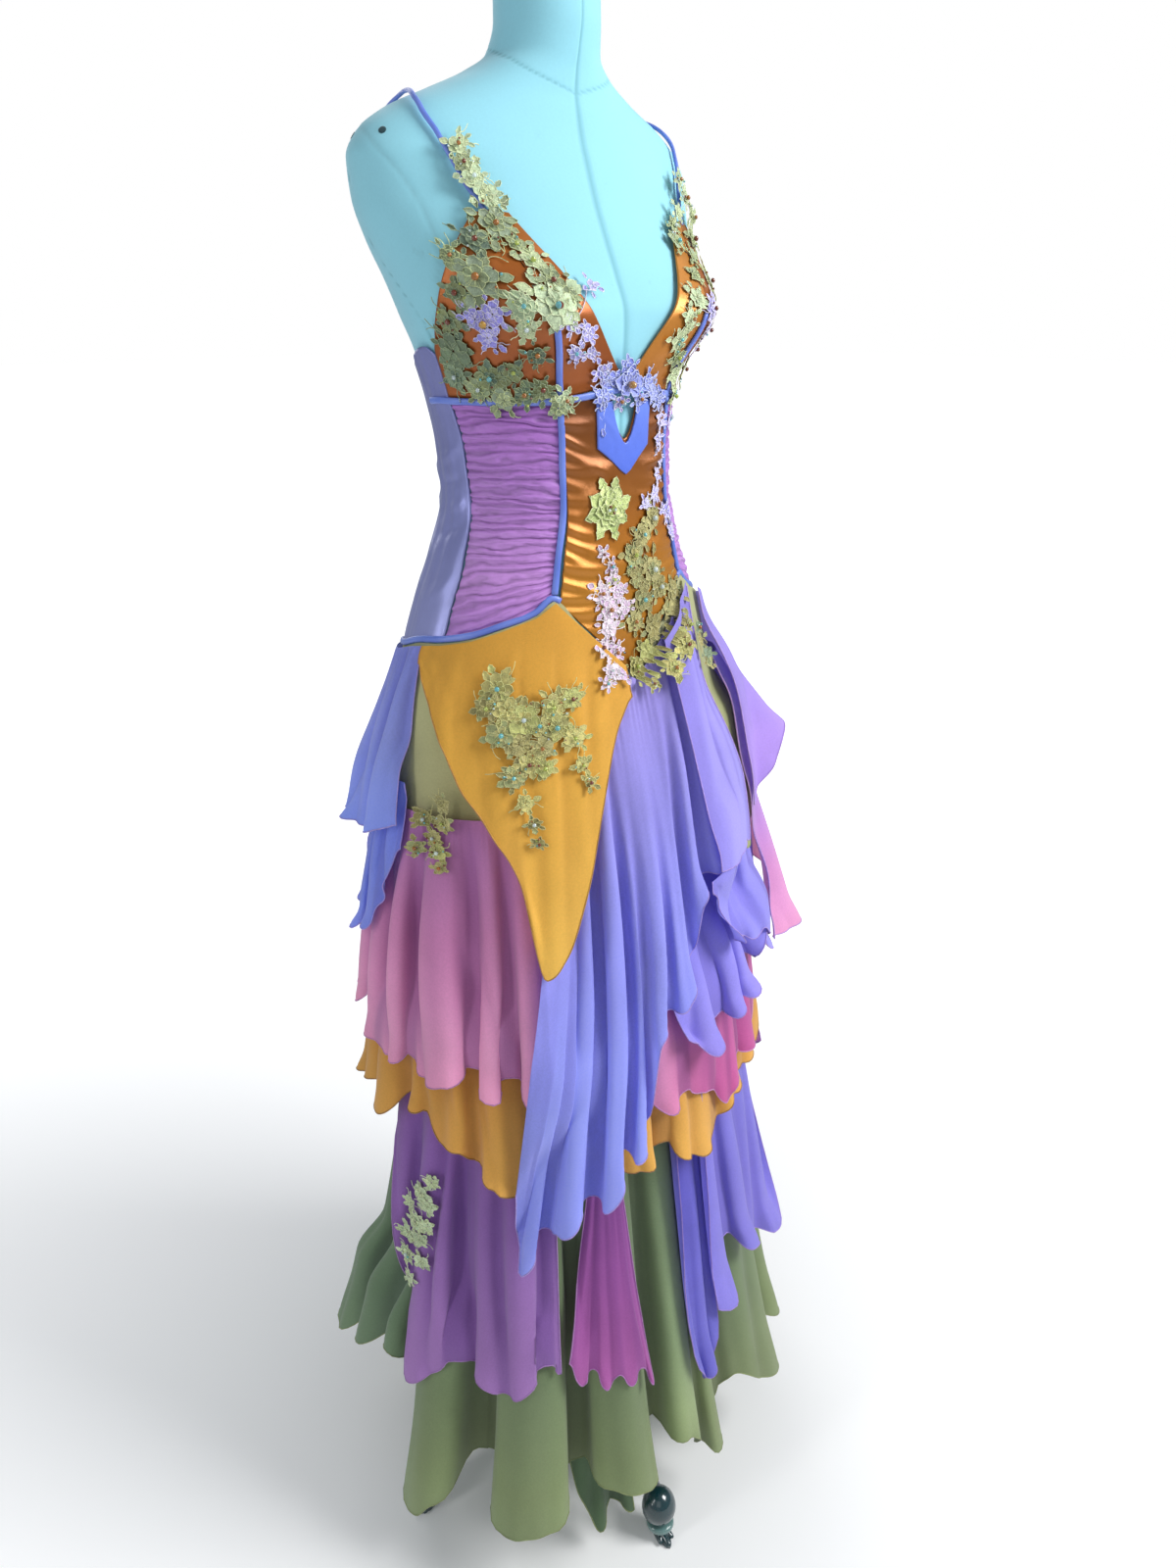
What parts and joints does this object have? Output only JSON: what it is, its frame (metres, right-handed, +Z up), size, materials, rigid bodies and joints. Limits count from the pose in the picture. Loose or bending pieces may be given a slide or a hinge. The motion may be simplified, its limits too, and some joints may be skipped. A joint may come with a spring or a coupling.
{
  "type": "layered gown on limbless dress form",
  "caption": "Long strappy gown with a panelled satin bodice and tiered handkerchief chiffon skirt, worn on a limbless dress form on a splayed-leg stand.",
  "frame": {"origin": "on the floor, at the middle of the whole footprint", "axes": "+Z up; the front of the gown faces -Y and the wearer's right is -X"},
  "size_m": [0.5724, 0.525, 1.663],
  "materials": {
    "blue_chiffon": "chiffon",
    "blue_satin": "satin",
    "blush_lace": "corded lace",
    "bronze_satin": "satin",
    "form_cloth": "matte woven cover",
    "gold_lace": "metallic thread lace",
    "lavender_lace": "corded lace",
    "marigold_chiffon": "chiffon",
    "orchid_chiffon": "ruched chiffon",
    "periwinkle_satin": "satin",
    "pink_chiffon": "chiffon",
    "plum_chiffon": "chiffon",
    "sage_chiffon": "chiffon",
    "stand_metal": "gloss enamel",
    "violet_chiffon": "chiffon",
    "yellow_chiffon": "chiffon"
  },
  "bodies": {
    "root": {"bodice_back_L": "periwinkle_satin", "bodice_back_R": "periwinkle_satin", "bodice_centre_front": "bronze_satin", "bodice_cup_centre_L": "bronze_satin", "bodice_cup_centre_R": "bronze_satin", "bodice_cup_side_L": "bronze_satin", "bodice_cup_side_R": "bronze_satin", "bodice_keyhole_tab": "blue_satin", "bodice_ruched_L": "orchid_chiffon", "bodice_ruched_R": "orchid_chiffon", "bodice_side_L": "periwinkle_satin", "bodice_side_R": "periwinkle_satin", "cascade_front": "blue_chiffon", "flounce_back_L_1": "blue_chiffon", "flounce_back_L_2": "pink_chiffon", "flounce_back_R_1": "blue_chiffon", "flounce_back_R_2": "blue_chiffon", "flounce_hip_L_1": "blue_chiffon", "flounce_hip_L_2": "blue_chiffon", "flounce_hip_L_3": "blue_chiffon", "form_neck_cap": "form_cloth", "form_torso": "form_cloth", "lace_blush": "blush_lace", "lace_bow": "lavender_lace", "lace_bronze": "gold_lace", "lace_cup_L": "gold_lace", "lace_cup_R": "gold_lace", "lace_flower": "gold_lace", "lace_lavender_L": "lavender_lace", "lace_violet": "gold_lace", "lace_yellow_point": "gold_lace", "lace_yoke": "gold_lace", "piping_cup_L": "blue_satin", "piping_cup_R": "blue_satin", "piping_hip_L": "blue_satin", "piping_hip_R": "blue_satin", "piping_princess_L": "blue_satin", "piping_princess_R": "blue_satin", "piping_underbust": "blue_satin", "skirt_blue_panel": "blue_chiffon", "skirt_blue_tail": "blue_chiffon", "skirt_marigold_tier": "marigold_chiffon", "skirt_mauve_tail": "pink_chiffon", "skirt_pink_tier": "pink_chiffon", "skirt_plum_gather": "plum_chiffon", "skirt_violet_tier": "violet_chiffon", "skirt_yellow_point": "yellow_chiffon", "skirt_yellow_tail": "yellow_chiffon", "skirt_yoke": "sage_chiffon", "stand_hub": "stand_metal", "stand_leg_1": "stand_metal", "stand_leg_2": "stand_metal", "stand_leg_3": "stand_metal", "stand_leg_4": "stand_metal", "stand_leg_5": "stand_metal", "stand_pole": "stand_metal", "strap_L": "blue_satin", "strap_R": "blue_satin", "underskirt": "sage_chiffon", "underskirt_inner": "sage_chiffon"}
  },
  "joints": []
}
